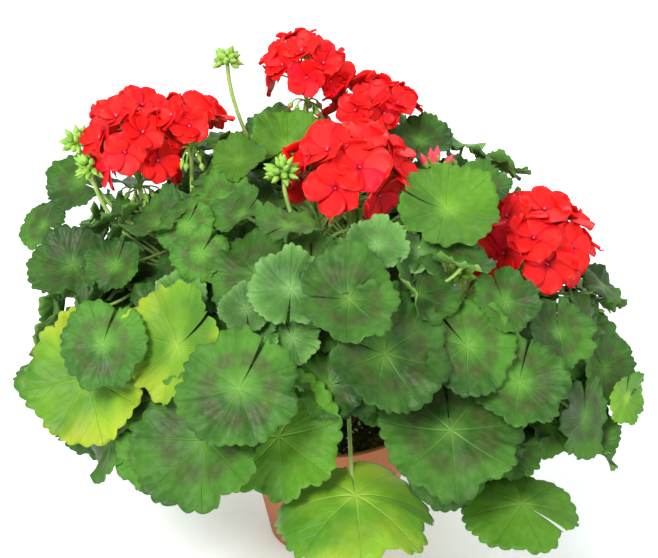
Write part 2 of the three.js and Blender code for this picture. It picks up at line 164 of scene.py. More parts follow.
def golden(count, depth, start):
    """Directions on a golden spiral, from straight up down to where their height is 1 - depth."""
    order = np.arange(count) + 0.5
    fall = np.arccos(1 - depth * order / count)
    around = start + GOLDEN_ANGLE * order
    return np.stack([np.sin(fall) * np.cos(around), np.sin(fall) * np.sin(around), np.cos(fall)], 1)


def bezier(p0, p1, p2, p3, steps):
    """Cubic curves: each point is the four controls weighed by the powers of t and 1 - t."""
    t = np.linspace(0, 1, steps)[:, None]
    p0, p1, p2, p3 = (np.asarray(p)[..., None, :] for p in (p0, p1, p2, p3))
    return (1 - t) ** 3 * p0 + 3 * t * (1 - t) ** 2 * p1 + 3 * t**2 * (1 - t) * p2 + t**3 * p3


def rods(paths, radii, sides):
    """Closed round rods along paths (rods, steps, 3). Each ring is square to its path: a point is
    the centre plus the radius times cos(turn) along one side and sin(turn) along the other. A
    centre point at each end closes the rod."""
    tangent = unit(np.gradient(paths, axis=1))
    bend = np.cross(tangent[:, 0], tangent[:, -1])
    spare = np.cross(tangent[:, 0], [0.31, 0.52, 0.8])
    bend = np.where(np.linalg.norm(bend, axis=1, keepdims=True) < 0.05, spare, bend)[:, None]
    side = unit(bend - (bend * tangent).sum(2, keepdims=True) * tangent)
    up = np.cross(tangent, side)
    turn = np.linspace(0, 2 * np.pi, sides, endpoint=False)
    around = np.cos(turn)[:, None] * side[:, :, None] + np.sin(turn)[:, None] * up[:, :, None]
    count, steps = paths.shape[:2]
    radii = np.broadcast_to(radii, (count, steps))
    rings = paths[:, :, None] + radii[:, :, None, None] * around
    points = np.concatenate([rings.reshape(count, -1, 3), paths[:, :1], paths[:, -1:]], 1)
    size = steps * sides + 2
    offset = np.arange(count)[:, None, None] * size
    quads = (grid_faces(steps, sides, wrap=True)[None] + offset).reshape(-1, 4)
    i = np.arange(sides)
    j = (i + 1) % sides
    first = np.stack([np.full(sides, size - 2), j, i], 1)
    last = np.stack([np.full(sides, size - 1), i + size - 2 - sides, j + size - 2 - sides], 1)
    caps = (np.concatenate([first, last])[None] + offset).reshape(-1, 3)
    along = np.linspace(0, 1, steps)
    along = np.concatenate([np.repeat(along, sides), [0, 1]])
    return points.reshape(-1, 3), [quads, caps], np.tile(along, count)


def rings_at(radius, height, turn):
    """Points (rows, turns, 3) on circles of each radius round the pot's axis, at each height."""
    return np.stack(np.broadcast_arrays(radius * np.cos(turn), radius * np.sin(turn), height), 2)


def turned(rings, poles, flip=False):
    """A closed turned surface: rings of points (rows, sides, 3), with a pole at each end."""
    rows, sides = rings.shape[:2]
    i = np.arange(sides)
    j = (i + 1) % sides
    if flip:
        i, j = j, i
    end = rows * sides
    first = np.stack([np.full(sides, end), j, i], 1)
    last = np.stack([np.full(sides, end + 1), i + end - sides, j + end - sides], 1)
    faces = [grid_faces(rows, sides, wrap=True, flip=flip), first, last]
    return np.concatenate([rings.reshape(-1, 3), poles]), faces


def joined(parts):
    """Several sets of points, faces and numbers per point, one after another as one set."""
    points, faces, numbers, start = [], [], [], 0
    for p, f, n in parts:
        points.append(p)
        faces += [group + start for group in f]
        numbers.append(np.broadcast_to(n, len(p)))
        start += len(p)
    return np.concatenate(points), faces, np.concatenate(numbers)


# %% [markdown]
# ## Materials
# Leaves are painted from their flat map: the distance from the hub makes the brown zone that gives
# zonal geraniums their name, and the turn round the hub makes the veins. The main veins run to the
# lobes and side veins branch from them. Every colour is worked out from such numbers and noise.

# %% Material helpers
def linear(red, green, blue):
    """A colour as seen on a screen, 0 to 255, as the light that the renderer works with."""
    channels = [v / 255 for v in (red, green, blue)]
    return tuple(((v + 0.055) / 1.055) ** 2.4 if v > 0.04 else v / 12.92 for v in channels) + (1.0,)


class Paint:
    """A Principled material and short words for wiring its nodes."""

    def __init__(self, name, roughness, specular=0.3):
        self.material = bpy.data.materials.new(name)
        self.material.use_nodes = True
        self.tree = self.material.node_tree
        self.shader = self.tree.nodes["Principled BSDF"]
        self.shader.inputs["Roughness"].default_value = roughness
        self.shader.inputs["Specular IOR Level"].default_value = specular

    def node(self, kind, **settings):
        made = self.tree.nodes.new(kind)
        for key, value in settings.items():
            setattr(made, key, value)
        return made

    def wire(self, value, socket):
        if isinstance(value, bpy.types.NodeSocket):
            self.tree.links.new(value, socket)
        else:
            socket.default_value = value

    def math(self, operation, a, b=0.0, c=0.0):
        made = self.node("ShaderNodeMath", operation=operation)
        for value, socket in zip((a, b, c), made.inputs):
            self.wire(value, socket)
        return made.outputs[0]

    def times(self, a, b):
        return self.math("MULTIPLY", a, b)

    def plus(self, a, b):
        return self.math("ADD", a, b)

    def ramp(self, x, low, high, first=0.0, last=1.0):
        made = self.node("ShaderNodeMapRange", interpolation_type="SMOOTHSTEP")
        for value, socket in zip((x, low, high, first, last), made.inputs):
            self.wire(value, socket)
        return made.outputs[0]

    def mix(self, share, a, b):
        made = self.node("ShaderNodeMix", data_type="RGBA")
        self.wire(share, made.inputs[0])
        self.wire(a, made.inputs[6])
        self.wire(b, made.inputs[7])
        return made.outputs[2]

    def noise(self, scale, detail=3.0):
        made = self.node("ShaderNodeTexNoise")
        self.wire(self.node("ShaderNodeTexCoord").outputs["Object"], made.inputs["Vector"])
        made.inputs["Scale"].default_value = scale
        made.inputs["Detail"].default_value = detail
        return made.outputs[0]

    def value(self, word):
        return self.node("ShaderNodeAttribute", attribute_name=word).outputs["Fac"]

    def flat(self):
        made = self.node("ShaderNodeSeparateXYZ")
        self.wire(self.node("ShaderNodeUVMap", uv_map="flat").outputs[0], made.inputs[0])
        return made.outputs[0], made.outputs[1]

    def toned(self, colour, tone, spread):
        """The colour lighter or darker by the given number, which runs from 0 to 1: on leaves a
        random tone, on petals a random tone plus painted shade by the way they face.
        """
        made = self.node("ShaderNodeHueSaturation")
        self.wire(self.math("MULTIPLY_ADD", tone, spread, 1 - spread / 2), made.inputs["Value"])
        self.wire(colour, made.inputs["Color"])
        return made.outputs[0]

    def bump(self, height, distance, strength=1.0):
        made = self.node("ShaderNodeBump")
        self.wire(height, made.inputs["Height"])
        made.inputs["Distance"].default_value = distance
        made.inputs["Strength"].default_value = strength
        self.wire(made.outputs[0], self.shader.inputs["Normal"])

    def finish(self, colour):
        self.wire(colour, self.shader.inputs["Base Color"])
        return self.material


UV_SCALE = 0.44  # a leaf's flat map has its hub at 0.5 and its edge this far out
HALF_LOBE = math.radians(24)  # from a main vein to the dip between two lobes
SIDE_VEIN_STEP = 0.085
LEAF_ROUGHNESS = 0.55


def leaf_paint(name, dark, light, zone, zone_share, vein, rim=0.0, yellow=0.0):
    """Green between dark and light by noise; a brown zone at about half the radius; pale veins."""
    paint = Paint(name, LEAF_ROUGHNESS, 0.25)
    paint.shader.inputs["Sheen Weight"].default_value = 0.06
    paint.shader.inputs["Sheen Tint"].default_value = linear(226, 250, 214)
    u, v = paint.flat()
    x = paint.math("DIVIDE", paint.math("SUBTRACT", u, 0.5), UV_SCALE)
    y = paint.math("DIVIDE", paint.math("SUBTRACT", v, 0.5), UV_SCALE)
    patchy = paint.noise(16.0, 4.0)
    fine = paint.noise(160.0, 3.0)
    wobble = paint.math("MULTIPLY_ADD", patchy, 0.14, -0.07)
    reach = paint.math("POWER", paint.math("MULTIPLY_ADD", x, x, paint.times(y, y)), 0.5)
    turn = paint.plus(paint.math("ARCTAN2", y, x), wobble)
    turn = paint.plus(turn, 16 * math.pi)
    off = paint.math("PINGPONG", turn, HALF_LOBE)
    aside = paint.times(paint.math("SINE", off), reach)
    width = paint.math("MULTIPLY_ADD", reach, -0.016, 0.026)
    main = paint.ramp(aside, 0.0, width, 1.0, 0.0)
    lean = paint.math("MULTIPLY_ADD", aside, -1.25, reach)
    lean = paint.plus(lean, paint.times(wobble, 1.1))
    side = paint.math("PINGPONG", lean, SIDE_VEIN_STEP)
    side = paint.ramp(side, 0.0, 0.012, 1.0, 0.0)
    side = paint.times(side, paint.ramp(reach, 0.15, 0.4))
    veins = paint.math("MAXIMUM", main, paint.times(side, 0.32))

    colour = paint.mix(paint.ramp(patchy, 0.3, 0.7), dark, light)
    heart = paint.times(paint.ramp(reach, 0.0, 0.34, 1.0, 0.0), 0.55)
    colour = paint.mix(heart, colour, vein)
    ring = paint.plus(reach, paint.times(wobble, 1.4))
    fade = paint.ramp(ring, 0.56, 0.74, 1.0, 0.0)
    ring = paint.times(paint.ramp(ring, 0.32, 0.46), fade)
    ring = paint.times(ring, paint.ramp(off, 0.0, math.radians(16), 0.45, 1.0))
    colour = paint.mix(paint.times(ring, zone_share), colour, zone)
    if yellow:
        ill = paint.plus(paint.noise(9.0, 3.0), paint.times(reach, 0.25))
        ill = paint.times(paint.ramp(ill, 0.7, 0.92), yellow)
        colour = paint.mix(ill, colour, linear(206, 206, 36))
    if rim:
        edge = paint.times(paint.ramp(reach, 0.72, 1.0), rim)
        colour = paint.mix(edge, colour, vein)
    seen = paint.times(veins, paint.ramp(reach, 0.1, 0.9, 0.4, 0.1))
    colour = paint.mix(seen, colour, vein)
    colour = paint.mix(paint.ramp(fine, 0.35, 0.75, 0.0, 0.08), colour, linear(150, 185, 110))
    colour = paint.toned(colour, paint.value("tone"), 0.5)
    dull = paint.ramp(patchy, 0.3, 0.7, LEAF_ROUGHNESS - 0.1, LEAF_ROUGHNESS + 0.12)
    paint.wire(dull, paint.shader.inputs["Roughness"])
    height = paint.math("MULTIPLY_ADD", fine, 0.35, paint.times(veins, -1.0))
    paint.bump(height, 0.0009, 0.7)
    return paint.finish(colour)


LEAF = {
    "leaf_mature": leaf_paint(
        "leaf mature", linear(24, 66, 8), linear(66, 118, 26), linear(58, 60, 26), 0.62,
        linear(108, 158, 58)
    ),
    "leaf_fresh": leaf_paint(
        "leaf fresh", linear(46, 94, 8), linear(78, 128, 18), linear(78, 102, 26), 0.15,
        linear(120, 168, 54)
    ),
    "leaf_young": leaf_paint(
        "leaf young", linear(48, 98, 32), linear(90, 142, 58), linear(56, 78, 38), 0.4,
        linear(140, 186, 108), rim=0.35
    ),
    "leaf_old": leaf_paint(
        "leaf old", linear(62, 118, 14), linear(116, 164, 28), linear(104, 124, 34), 0.15,
        linear(162, 196, 66), yellow=0.42
    ),
}


def underside_paint():
    """The pale matt back of a leaf, with its veins standing out."""
    paint = Paint("leaf underside", 0.7, 0.2)
    patchy = paint.noise(24.0, 4.0)
    colour = paint.mix(paint.ramp(patchy, 0.3, 0.7), linear(92, 138, 58), linear(124, 166, 82))
    paint.bump(paint.noise(150.0, 3.0), 0.0005, 0.5)
    return paint.finish(paint.toned(colour, paint.value("tone"), 0.4))


UNDERSIDE = underside_paint()


def stalk_paint(name, pale, green, foot, roughness=0.5):
    """Green skin, paler in streaks; the number named ripe takes it over to the foot's colour."""
    paint = Paint(name, roughness)
    streaks = paint.noise(90.0, 4.0)
    colour = paint.mix(paint.ramp(streaks, 0.3, 0.7), green, pale)
    bark = paint.plus(paint.value("ripe"), paint.math("MULTIPLY_ADD", streaks, 0.5, -0.25))
    colour = paint.mix(paint.ramp(bark, 0.3, 0.7), colour, foot)
    paint.bump(paint.noise(420.0, 2.0), 0.0004, 0.6)
    return paint.finish(colour)


STALK = stalk_paint("leaf stalk", linear(176, 204, 116), linear(140, 180, 82), linear(110, 140, 60))
STEM = stalk_paint("stem", linear(128, 160, 84), linear(92, 130, 58), linear(112, 92, 62), 0.6)
BUD_SKIN = stalk_paint("bud", linear(160, 200, 88), linear(122, 172, 62), linear(232, 70, 92), 0.55)


def petal_paint():
    """Scarlet, crimson towards the throat and at the very edge, with fine darker veins. The further
    a petal faces down, the more crimson it is painted, as painted shade.
    """
    paint = Paint("petal", 0.5, 0.2)
    u, v = paint.flat()
    across = paint.math("ABSOLUTE", paint.math("SUBTRACT", u, 0.5))
    mottle = paint.noise(60.0, 3.0)
    colour = paint.mix(paint.ramp(mottle, 0.3, 0.7), linear(230, 16, 16), linear(248, 32, 22))
    streak = paint.math("PINGPONG", paint.math("DIVIDE", across, paint.plus(v, 0.25)), 0.045)
    faint = paint.ramp(v, 0.2, 0.9, 0.55, 0.05)
    streak = paint.times(paint.ramp(streak, 0.0, 0.02, 1.0, 0.0), faint)
    colour = paint.mix(streak, colour, linear(200, 10, 34))
    colour = paint.mix(paint.ramp(v, 0.0, 0.34, 0.85, 0.0), colour, linear(190, 8, 44))
    colour = paint.mix(paint.ramp(across, 0.3, 0.44, 0.0, 0.55), colour, linear(204, 8, 34))
    colour = paint.mix(paint.ramp(v, 0.84, 0.93, 0.0, 0.6), colour, linear(204, 8, 30))
    tone = paint.value("tone")
    # painted shade: petals that face down carry a higher tone and are mixed toward crimson here,
    # and toned below shifts their brightness by it as well
    colour = paint.mix(paint.ramp(tone, 0.35, 1.0, 0.0, 0.8), colour, linear(226, 14, 52))
    paint.bump(paint.plus(mottle, paint.times(streak, -0.6)), 0.0006, 0.6)
    return paint.finish(paint.toned(colour, tone, 0.2))


PETAL = petal_paint()


def plain_paint(name, one, other, scale, roughness, rough_bump, depth):
    """Two colours patched together by noise, over a surface roughened by finer noise."""
    paint = Paint(name, roughness, 0.3)
    colour = paint.mix(paint.ramp(paint.noise(scale, 4.0), 0.3, 0.7), one, other)
    paint.bump(paint.noise(rough_bump, 3.0), depth, 0.6)
    return paint.finish(colour)


PINK, PALE_PINK = linear(226, 84, 104), linear(250, 150, 150)
CLAY, PALE_CLAY = linear(170, 98, 60), linear(184, 114, 74)
PEAT, DRY_PEAT = linear(30, 22, 16), linear(62, 47, 35)
BROWN, PALE_BROWN = linear(70, 48, 32), linear(112, 80, 52)
CHALK, WHITE = linear(214, 210, 200), linear(240, 238, 230)
STAMEN = plain_paint("stamen", PINK, PALE_PINK, 300.0, 0.6, 500.0, 0.0002)
POT = plain_paint("pot plastic", CLAY, PALE_CLAY, 14.0, 0.62, 180.0, 0.0003)
SOIL = plain_paint("soil", PEAT, DRY_PEAT, 120.0, 0.9, 260.0, 0.002)
BARK = plain_paint("bark chips", BROWN, PALE_BROWN, 150.0, 0.85, 300.0, 0.0008)
PERLITE = plain_paint("perlite", CHALK, WHITE, 200.0, 0.85, 500.0, 0.0005)
FLOOR = plain_paint("floor", linear(246, 248, 250), linear(248, 250, 251), 2.0, 0.9, 40.0, 0.0001)

glow = FLOOR.node_tree.nodes["Principled BSDF"].inputs
glow["Emission Color"].default_value = linear(250, 252, 255)
glow["Emission Strength"].default_value = 0.24
floor_mesh = bpy.data.meshes.new("floor")
floor_mesh.from_pydata([(-5, -5, 0), (5, -5, 0), (5, 5, 0), (-5, 5, 0)], [], [(0, 1, 2, 3)])
floor_mesh.materials.append(FLOOR)
floor = linked("floor", floor_mesh)
print("materials:", len(bpy.data.materials))


# %% [markdown]
# ## Reading the CAD
# A leaf in the CAD is a fan round its hub, with eight spokes of one length. The spoke ends sit at
# known turns from the tip, so the hub, the way it faces, the tip and the size follow from them.

# %% Measuring the leaves
BLADE_RING = 0.55  # the spokes' length, as a share of the leaf's radius
BLADE_THICKNESS = 0.0014
SPOKE_TURNS = np.radians(-168 + 48 * np.arange(8))


def welded(name):
    """A node's corner points, each once, and its triangles."""
    mesh = frame["nodes"][name].data
    mesh.calc_loop_triangles()
    points = np.empty(3 * len(mesh.vertices), np.float32)
    corners = np.empty(3 * len(mesh.loop_triangles), np.int32)
    mesh.vertices.foreach_get("co", points)
    mesh.loop_triangles.foreach_get("vertices", corners)
    points = np.round(points.reshape(-1, 3).astype(float), 6)
    points, number = np.unique(points, axis=0, return_inverse=True)
    return points, number.reshape(-1)[corners].reshape(-1, 3)


def stalk_base(points, end, below=math.inf):
    """The middle of the corners at the end of the stalk that is furthest from its other end."""
    points = points[points[:, 2] < below]
    furthest = points[np.linalg.norm(points - end, axis=1).argmax()]
    return points[np.linalg.norm(points - furthest, axis=1) < 0.004].mean(0)


def upright_on(ends, face):
    """Turns the face until it stands upright on the spokes, and finds the tip from their turns.
    Also says how far the spokes miss their turns, and how many different turns they fill."""
    for _ in range(4):
        x = unit(np.cross(face, [0.31, 0.77, 0.55]))
        y = np.cross(face, x)
        turn = np.arctan2(ends @ y, ends @ x)
        tries = (turn[:, None] - SPOKE_TURNS).ravel()
        miss = np.angle(np.exp(1j * (turn[:, None] - SPOKE_TURNS - tries[:, None, None])))
        best = (np.abs(miss).min(2) ** 2).sum(1).argmin()
        own = SPOKE_TURNS[np.abs(miss[best]).argmin(1)]
        start = np.angle(np.exp(1j * (turn - own)).mean())
        tip = x * np.cos(start) + y * np.sin(start)
        across = np.cross(face, tip)
        terms = np.stack([ends @ tip, ends @ across, np.ones(len(ends)), np.cos(2 * own)], 1)
        fit = np.linalg.lstsq(terms, ends @ face, rcond=None)[0]
        face = unit(face - fit[0] * tip - fit[1] * across)
    return face, unit(tip - (tip @ face) * face), own, np.abs(miss[best]).min(1).mean()


def measured_leaf(name):
    """The hub is a corner with six or more edges of one length whose turns fit the spokes' turns
    best. Leaves face the light, so of the two sides of the blade the face is the upper one."""
    points, faces = welded(name)
    edge = np.zeros((len(points), len(points)), bool)
    edge[faces, np.roll(faces, 1, axis=1)] = True
    edge |= edge.T
    span = np.linalg.norm(points[:, None] - points[None], axis=2)
    spoke = edge & (span > 0.009)
    alike = np.abs(span[:, :, None] - span[:, None, :]) < 0.02 * span[:, :, None]
    alike &= spoke[:, :, None] & spoke[:, None, :]
    votes = alike.sum(2)
    found = []
    for hub in np.flatnonzero(votes.max(1) >= 6):
        ends = points[alike[hub, votes[hub].argmax()]] - points[hub]
        corners = points[faces[(faces == hub).any(1)]]
        first, second = corners[:, 1] - corners[:, 0], corners[:, 2] - corners[:, 0]
        outwards = unit(np.cross(first, second).sum(0))
        face, tip, own, miss = upright_on(ends, outwards * (1 if outwards[2] > 0 else -1))
        if len(set(own)) >= 5:
            found.append((miss, points[hub], ends, face, tip, own, outwards @ face))
    _, hub, ends, face, tip, own, outwards = min(found, key=lambda one: one[0])
    across = np.cross(face, tip)
    radius = np.hypot(ends @ tip, ends @ across).mean() / BLADE_RING
    terms = np.stack([np.ones(len(ends)), np.cos(2 * own)], 1)
    cup, fold = np.linalg.lstsq(terms, ends @ face, rcond=None)[0] / (BLADE_RING**2 * radius)
    hub = hub - face * math.copysign(BLADE_THICKNESS / 2, outwards)
    base = stalk_base(points, hub)
    return dict(hub=hub, face=face, tip=tip, radius=radius, cup=cup, fold=fold, base=base)


slot_of = {part["node"]: part["material_slot"] for part in frame["record"]["subparts"]}
LEAVES = {name: measured_leaf(name) for name in NODES if name.startswith("leaf_")}
print("leaves:", len(LEAVES), "smallest radius", min(leaf["radius"] for leaf in LEAVES.values()))

# %% [markdown]
# The stems are rods of eight rings. Open heads end in a fork where all their florets' stalks meet,
# and the florets fill a dome over it. A head in bud has a point on top, and is widest below that.

# %% Measuring the stems and heads
def measured_stem(name):
    """The middle of each ring of six corners, from the lowest to the highest."""
    points = welded(name)[0]
    points = points[np.argsort(points[:, 2])]
    return points[: len(points) // 6 * 6].reshape(-1, 6, 3).mean(1)


def measured_head(name):
    """The fork is the lowest level with four corners or more close round one point, where the thick
    stalk ends; the foot of the stalk itself is passed over. The dome of florets is centred half way
    from there to the top."""
    points = welded(name)[0]
    height = np.round(points[:, 2], 5)
    level, number, count = np.unique(height, return_inverse=True, return_counts=True)
    for k in np.flatnonzero((count >= 4) & (level > level[0] + 0.012)):
        ring = points[number.reshape(-1) == k]
        if np.linalg.norm(ring - ring.mean(0), axis=1).max() < 0.0024:
            break
    fork = ring.mean(0)
    dome = points[points[:, 2] > fork[2] + 0.004]
    low, high = dome.min(0), dome.max(0)
    low[2] = fork[2]
    base = stalk_base(points, fork, fork[2])
    return dict(fork=fork, middle=(low + high) / 2, half=(high - low) / 2, base=base)


def measured_buds(name):
    """The radius is the widest reach from the point on top; the middle is 1.2 radii below it."""
    points = welded(name)[0]
    top = points[points[:, 2].argmax()]
    near = points[points[:, 2] > top[2] - 0.03]
    radius = np.linalg.norm((near - top)[:, :2], axis=1).max()
    middle = top - UP * 1.2 * radius
    return dict(middle=middle, radius=radius, base=stalk_base(points, middle, middle[2]))


STEMS = {name: measured_stem(name) for name in NODES if name.startswith("stem_")}
HEADS = {name: measured_head(name) for name in NODES if name.startswith("flower_head_")}
BUDS = {name: measured_buds(name) for name in NODES if name.startswith("bud_head_")}
for name, head in HEADS.items():
    print(name, "fork", head["fork"].round(3), "half", head["half"].round(3))


# %% [markdown]
# ## Leaves
# On the real plant a leaf is one sheet, round with a deep notch where the stalk comes in, seven
# shallow lobes, three blunt teeth on each, and a skin that puckers between the veins. The sheet is
# a grid of turns and shares of the radius, raised by the habit that was measured, and given a
# thickness with Solidify, whose second shell takes the pale underside.

# %% Leaf surface
def leaf_sheet(leaf, ruffle, seed, rows, columns):
    """In shares of the radius: the edge dips between the lobes by |sin(3.75 turn)|^5, by a depth
    that differs round the leaf, and carries teeth of |cos(15 turn)|.
    The height is share squared times (cup + fold cos(2 turn)), plus puckers between the veins,
    slow waves that grow to the edge, a fold along the middle, and a lift of the notch's sides."""
    draw = np.random.default_rng(seed)
    calm = 0.3 if leaf["cup"] < -0.15 else 1.0
    ruffle = ruffle * calm
    share = np.linspace(0.09, 1, rows)[:, None] ** 0.85
    half_turn = np.pi - 0.02 - 0.04 * share
    turn = np.linspace(-1, 1, columns) * half_turn
    waves = draw.uniform(0, 2 * np.pi, 8)
    depth = 0.075 * (1 + 0.8 * np.sin(1.5 * turn + waves[5]))
    lobes = 0.99 - depth * np.abs(np.sin(3.75 * turn)) ** 5
    teeth = 0.06 * (np.abs(np.cos(15 * (turn + 0.05 * np.sin(3 * turn + waves[6])))) ** 0.7 - 0.5)
    edge = lobes + smooth(0.5, 1, share) * teeth
    edge -= 0.11 * smooth(2.8, 3.12, np.abs(turn)) * share
    edge *= 1 + 0.03 * np.sin(turn + waves[0]) + 0.02 * np.sin(3 * turn + waves[1])
    reach = share * edge
    rise = reach**2 * (leaf["cup"] + leaf["fold"] * np.cos(2 * turn))
    rise += 0.04 * share * np.abs(np.sin(3.75 * turn)) ** 1.4
    slow = 0.075 * np.sin(3 * turn + waves[2]) + 0.07 * np.sin(5 * turn + waves[3])
    rise += ruffle * share**2.2 * slow
    crinkle = min(ruffle, 1)
    rise += crinkle * 0.04 * share**5 * np.cos(15 * turn + waves[4])
    rise += crinkle * 0.012 * share**2 * np.cos(30 * turn + 9 * share + waves[7])
    rise += calm * draw.uniform(-0.08, 0.22) * share * np.abs(np.sin(turn)) ** 1.3
    rise += calm * draw.uniform(-0.02, 0.12) * share**1.5 * smooth(1.9, 3.1, turn)
    rise += calm * draw.uniform(-0.02, 0.12) * share**1.5 * smooth(1.9, 3.1, -turn)
    along, aside = reach * np.cos(turn), reach * np.sin(turn)
    local = np.stack([along, aside, rise], 2).reshape(-1, 3)
    local = np.concatenate([local, [[0.0, 0.0, 0.0]]])
    axes = np.stack([leaf["tip"], np.cross(leaf["face"], leaf["tip"]), leaf["face"]])
    points = leaf["hub"] + leaf["radius"] * local @ axes
    hub = len(local) - 1
    first = np.arange(columns - 1)
    fan = np.stack([np.full(columns - 1, hub), first, first + 1], 1)
    faces = [grid_faces(rows, columns, flip=True), fan]
    return points, faces, 0.5 + UV_SCALE * local[:, :2]


RUFFLE = {"leaf_mature": 1.0, "leaf_fresh": 1.3, "leaf_young": 1.5, "leaf_old": 0.9}


def leaf_stalk(leaf, thick):
    """A stalk leaves its stem half outwards and half upwards and meets the blade from behind."""
    start, end = leaf["base"], leaf["hub"] - leaf["face"] * 0.0006
    way = end - start
    reach = 0.35 * np.linalg.norm(way)
    leave = unit(unit(way) + UP)
    start = start - 0.003 * unit(way)
    arrive = unit(leaf["face"] + 0.35 * leaf["tip"])
    path = bezier(start, start + reach * leave, end - reach * arrive, end, 22)
    share = np.linspace(0, 1, 22)
    return path, thick * (1.25 - 0.45 * smooth(0, 0.25, share) + 0.12 * smooth(0.93, 1, share))


BLADE_GRID = 11, 201
LEAF_THICKNESS = 0.0006


def grow_leaves(name, leaves, slot, seeds, rows, columns, stands_for=(), ruffle=1.0):
    """The blades as one piece and their stalks as another. Each leaf has its own tone."""
    sheets, flats, paths, radii = [], [], [], []
    for leaf, seed in zip(leaves, seeds):
        points, faces, flat = leaf_sheet(leaf, ruffle * RUFFLE[slot], seed, rows, columns)
        sheets.append((points, faces, np.random.default_rng(seed + 900).uniform(0, 1)))
        flats.append(flat)
        path, thick = leaf_stalk(leaf, 0.0016 + 0.0000085 * min(1000 * leaf["radius"], 60))
        paths.append(path)
        radii.append(thick)
    points, faces, tone = joined(sheets)
    materials = [LEAF[slot], UNDERSIDE]
    flat, tone = np.concatenate(flats), {"tone": tone}
    sheet = piece(f"blade_{name}", points, faces, materials, stands_for, flat, tone)
    thick = sheet.modifiers.new("thickness", "SOLIDIFY")
    thick.thickness, thick.offset, thick.material_offset = LEAF_THICKNESS, -1.0, 1
    points, faces, along = rods(np.array(paths), np.array(radii), 8)
    ripe = {"ripe": 0.5 * (1 - along) ** 6}
    piece(f"stalk_{name}", points, faces, [STALK], stands_for, values=ripe)


for number, (name, leaf) in enumerate(LEAVES.items()):
    grow_leaves(name, [leaf], slot_of[name], [40 + number], *BLADE_GRID, [name])
print("leaves grown:", len(LEAVES))


# %% [markdown]
# The CAD keeps the outer leaves. The real plant is a thicket, so more leaves grow among and under
# them: they stand on two domes, each on a golden spiral, wherever there is no other leaf close by.
# They keep clear of the flowers, and of the view of the pot and its soil from the front.

# %% Leaves inside the thicket
def fine_path(rings, steps):
    """The rings' path with more steps, its corners rounded by averaging three neighbours twice."""
    length = np.concatenate([[0], np.cumsum(np.linalg.norm(np.diff(rings, axis=0), axis=1))])
    even = np.linspace(0, length[-1], steps)
    path = np.stack([np.interp(even, length, rings[:, k]) for k in range(3)], 1)
    for _ in range(2):
        path[1:-1] = (path[:-2] + path[1:-1] + path[2:]) / 3
    return path


STEM_STEPS = 64
STEM_PATHS = {name: fine_path(rings, STEM_STEPS) for name, rings in STEMS.items()}
STEM_POINTS = np.concatenate([path[22:] for path in STEM_PATHS.values()])  # above the soil
CROWN = np.array([0.0, 0.0, RIM_HEIGHT + 0.07])
INNER = np.array([0.215, 0.19, 0.175])  # half the dome's size along each axis
BEFORE = np.array([0, -0.052, 0.014])  # the place in front of a head that stays clear as well
FLOWERS = [(head["middle"], head["half"].max()) for head in HEADS.values()]
FLOWERS += [(head["middle"] + BEFORE, 0.85 * head["half"].max()) for head in HEADS.values()]
FLOWERS += [(bud["middle"], 1.6 * bud["radius"]) for bud in BUDS.values()]


def thicket(tries, grown, room, standing, draw):
    """Places on the dome, grown by a share of its size, each kept if it is clear of the leaves
    that stand already by the given share of the larger one's radius."""
    kept = []
    for k in range(tries):
        fall = math.acos(1 - 1.2 * (k + 0.5) / tries)
        around = GOLDEN_ANGLE * k
        flat = math.sin(fall)
        away = np.array([flat * math.cos(around), flat * math.sin(around), math.cos(fall)])
        hub = CROWN + away * INNER * grown * draw.uniform(0.88, 1.08)
        radius = draw.uniform(0.023, 0.038) * (1 - 0.18 * away[2])
        open_front = hub[1] < 0 and abs(hub[0]) < 0.09 and hub[2] < RIM_HEIGHT + 0.1
        near_leaf = any(math.dist(hub, spot) <= room * max(radius, size) for spot, size in standing)
        near_flower = any(math.dist(hub, spot) < radius + size for spot, size in FLOWERS)
        if open_front or near_flower or near_leaf:
            continue
        face = unit(unit(away / INNER) * [1, 1, 0.6] + UP * 0.8 + 0.3 * draw.normal(size=3))
        down = unit(face * face[2] - UP)
        turn = draw.normal(0, 0.7)
        tip = down * math.cos(turn) + np.cross(face, down) * math.sin(turn)
        out = np.linalg.norm(STEM_POINTS - (hub - UP * 0.05), axis=1).argmin()
        habit = dict(cup=draw.uniform(-0.12, 0.3), fold=draw.uniform(-0.26, 0.16))
        base = STEM_POINTS[out]
        kept.append(dict(hub=hub, face=face, tip=tip, radius=radius, base=base, **habit))
        standing.append((hub, radius))
    return kept


STANDING = [(leaf["hub"], leaf["radius"]) for leaf in LEAVES.values()]
INNER_LEAVES = thicket(320, 1.16, 0.95, STANDING, np.random.default_rng(8))
INNER_LEAVES += thicket(260, 0.96, 0.66, STANDING, np.random.default_rng(5))
INNER_GRID = 5, 113
YOUNG_RADIUS = 0.0235
MIDDLE_DEPTH = 0.06
groups = {}
for number, leaf in enumerate(INNER_LEAVES):
    age = "leaf_fresh" if number % 23 == 4 else "leaf_mature"
    if leaf["radius"] < YOUNG_RADIUS:
        age = "leaf_young"
    x, y, _ = leaf["hub"]
    side = "front" if y < -MIDDLE_DEPTH else "back" if y > MIDDLE_DEPTH else "middle"
    side += "_left" if x < 0 else "_right"
    groups.setdefault((age, side), []).append((leaf, 1200 + number))
for (age, side), members in groups.items():
    leaves, seeds = zip(*members)
    grow_leaves(f"{age[5:]}_{side}", leaves, age, seeds, *INNER_GRID, ruffle=1.3)
print("inner leaves:", len(INNER_LEAVES))


# %% [markdown]
# ## Stems
# Zonal geraniums stand on thick fleshy stems, green and jointed above, brown and corky at the soil.

# %% Stems
for name, path in STEM_PATHS.items():
    share = np.linspace(0, 1, STEM_STEPS)
    joint = np.exp(-((((share * 9) % 1) - 0.5) / 0.12) ** 2)
    radii = 0.0052 - 0.0016 * share + 0.0006 * joint
    points, faces, along = rods(path[None], radii[None], 14)
    height = (points[:, 2] - RIM_HEIGHT) / 0.1
    corky = {"ripe": 1 - smooth(-0.3, 1.0, height)}
    piece(name, points, faces, [STEM], [name], values=corky)
print("stems grown:", len(STEMS))

